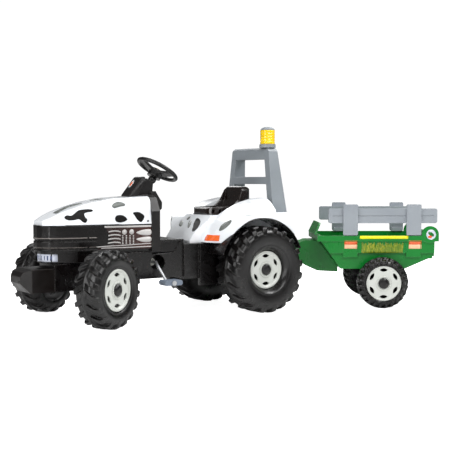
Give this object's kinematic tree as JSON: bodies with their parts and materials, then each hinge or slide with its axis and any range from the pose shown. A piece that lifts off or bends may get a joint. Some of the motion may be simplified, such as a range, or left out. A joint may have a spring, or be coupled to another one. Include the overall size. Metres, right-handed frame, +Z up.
{
  "type": "pedal tractor with trailer",
  "caption": "Child's pedal tractor with patched white bodywork, roll bar and beacon, chain drive and steered front wheels, towing a small green trailer with fence rails",
  "frame": {"origin": "on the ground under the middle of the whole rig's bounding box, in its rest pose", "axes": "+X is forward along the tractor, +Y is the rider's left, +Z is up"},
  "size_m": [1.5617, 0.7647, 0.638],
  "materials": {
    "black_body": "satin moulded polypropylene",
    "black_gloss": "smooth semi-gloss moulded plastic",
    "white_body": "smooth white moulded plastic with dark patches",
    "grey_body": "satin grey moulded plastic",
    "tyre_black": "hollow blow-moulded black plastic with satin sidewalls",
    "wheel_grey": "satin light grey plastic",
    "beacon_yellow": "translucent yellow plastic",
    "green_body": "smooth green moulded plastic",
    "pedal_blue": "matt blue-grey moulded plastic",
    "steel": "zinc-plated steel rod",
    "dark_steel": "black coated steel",
    "bush_white": "natural nylon",
    "horn_yellow": "smooth yellow plastic"
  },
  "bodies": {
    "tractor": {"chassis": "black_body", "front_weight": "black_body", "nose_cover": "black_gloss", "bonnet": "white_body", "dash_cowl": "black_body", "instrument_pod": "black_gloss", "seat": "black_gloss", "rear_cover": "white_body", "arch_liner_left": "black_body", "arch_liner_right": "black_body", "roll_bar": "grey_body", "bar_sockets": "black_body", "beacon_base": "grey_body", "beacon_lens": "beacon_yellow", "beacon_cap": "grey_body", "body_screws": "steel", "crank_bushes": "bush_white", "axle_bushes": "bush_white", "front_axle_beam": "dark_steel", "tow_bracket": "dark_steel", "hitch_pin": "steel", "chain": "steel"},
    "steering": {"steering_column": "steel", "steering_wheel": "black_gloss"},
    "horn": {"horn_button": "horn_yellow"},
    "knuckle_left_body": {"knuckle_left": "dark_steel"},
    "knuckle_right_body": {"knuckle_right": "dark_steel"},
    "track_rod": {"tie_rod": "dark_steel"},
    "front_wheel_left": {"front_tyre_left": "tyre_black", "front_plate_left": "wheel_grey", "front_cap_left": "black_gloss"},
    "front_wheel_right": {"front_tyre_right": "tyre_black", "front_plate_right": "wheel_grey", "front_cap_right": "black_gloss"},
    "rear_drive": {"rear_axle": "steel", "driven_sprocket": "steel", "rear_tyre_right": "tyre_black", "rear_plate_right": "wheel_grey", "rear_cap_right": "black_gloss"},
    "rear_wheel_left": {"rear_tyre_left": "tyre_black", "rear_plate_left": "wheel_grey", "rear_cap_left": "black_gloss"},
    "crank_set": {"crank": "steel", "drive_sprocket": "steel"},
    "pedal_left_body": {"pedal_left": "pedal_blue"},
    "pedal_right_body": {"pedal_right": "pedal_blue"},
    "trailer": {"trailer_tub": "green_body", "headboard": "green_body", "drawbar": "green_body", "trailer_axle": "steel", "fence_rail_left": "grey_body", "fence_rail_right": "grey_body", "fence_posts": "grey_body"},
    "tailgate_body": {"tailgate": "green_body"},
    "trailer_wheel_left": {"trailer_tyre_left": "tyre_black", "trailer_plate_left": "wheel_grey", "trailer_cap_left": "black_gloss"},
    "trailer_wheel_right": {"trailer_tyre_right": "tyre_black", "trailer_plate_right": "wheel_grey", "trailer_cap_right": "black_gloss"}
  },
  "joints": [
    {"name": "steering_turn", "type": "hinge", "parent": "tractor", "child": "steering", "pos_m": [0.27603, -0.06426, 0.486], "axis": [-0.515, 0, 0.8572], "range_deg": [-59, 5]},
    {"name": "horn_press", "type": "slide", "parent": "steering", "child": "horn", "axis": [0.515, 0, -0.8572], "range_m": [0, 0.003], "stiffness_N_per_m": 400, "springref_m": -0.001},
    {"name": "kingpin_left_turn", "type": "hinge", "parent": "tractor", "child": "knuckle_left_body", "pos_m": [0.58403, 0.14074, 0.12], "axis": [0, 0, 1], "range_deg": [-59, 5]},
    {"name": "kingpin_right_turn", "type": "hinge", "parent": "tractor", "child": "knuckle_right_body", "pos_m": [0.58403, -0.26926, 0.12], "axis": [0, 0, 1], "range_deg": [-59, 5]},
    {"name": "track_rod_turn", "type": "hinge", "parent": "knuckle_left_body", "child": "track_rod", "pos_m": [0.54393, 0.12031, 0.14], "axis": [0, 0, 1], "range_deg": [-5, 59]},
    {"name": "front_wheel_left_spin", "type": "hinge", "parent": "knuckle_left_body", "child": "front_wheel_left", "pos_m": [0.5577, 0.19242, 0.12], "axis": [-0.454, 0.891, 0], "continuous": true},
    {"name": "front_wheel_right_spin", "type": "hinge", "parent": "knuckle_right_body", "child": "front_wheel_right", "pos_m": [0.61036, -0.32094, 0.12], "axis": [-0.454, 0.891, 0], "continuous": true},
    {"name": "rear_axle_spin", "type": "hinge", "parent": "tractor", "child": "rear_drive", "pos_m": [-0.02097, -0.06426, 0.147], "axis": [0, 1, 0], "continuous": true},
    {"name": "rear_wheel_left_spin", "type": "hinge", "parent": "tractor", "child": "rear_wheel_left", "pos_m": [-0.02097, 0.15374, 0.147], "axis": [0, 1, 0], "continuous": true},
    {"name": "crank_spin", "type": "hinge", "parent": "tractor", "child": "crank_set", "pos_m": [0.32903, -0.06426, 0.179], "axis": [0, 1, 0], "continuous": true},
    {"name": "pedal_left_spin", "type": "hinge", "parent": "crank_set", "child": "pedal_left_body", "pos_m": [0.327, 0.12574, 0.12104], "axis": [0, 1, 0], "continuous": true},
    {"name": "pedal_right_spin", "type": "hinge", "parent": "crank_set", "child": "pedal_right_body", "pos_m": [0.33105, -0.25426, 0.23696], "axis": [0, 1, 0], "continuous": true},
    {"name": "trailer_swing", "type": "hinge", "parent": "tractor", "child": "trailer", "pos_m": [-0.20897, -0.06426, 0.172], "axis": [0, 0, 1], "range_deg": [-12, 78]},
    {"name": "tailgate_swing", "type": "hinge", "parent": "trailer", "child": "tailgate_body", "pos_m": [-0.6694, 0.23474, 0.258], "axis": [0.5446, 0.8387, 0], "range_deg": [0, 80]},
    {"name": "trailer_wheel_left_spin", "type": "hinge", "parent": "trailer", "child": "trailer_wheel_left", "pos_m": [-0.41459, 0.31132, 0.09], "axis": [0.5446, 0.8387, 0], "continuous": true},
    {"name": "trailer_wheel_right_spin", "type": "hinge", "parent": "trailer", "child": "trailer_wheel_right", "pos_m": [-0.63571, -0.02918, 0.09], "axis": [0.5446, 0.8387, 0], "continuous": true}
  ],
  "couplings": [
    {"joint": "kingpin_left_turn", "follows": "steering_turn", "ratio": 1},
    {"joint": "kingpin_right_turn", "follows": "steering_turn", "ratio": 1},
    {"joint": "track_rod_turn", "follows": "steering_turn", "ratio": -1},
    {"joint": "crank_spin", "follows": "rear_axle_spin", "ratio": 1}
  ]
}
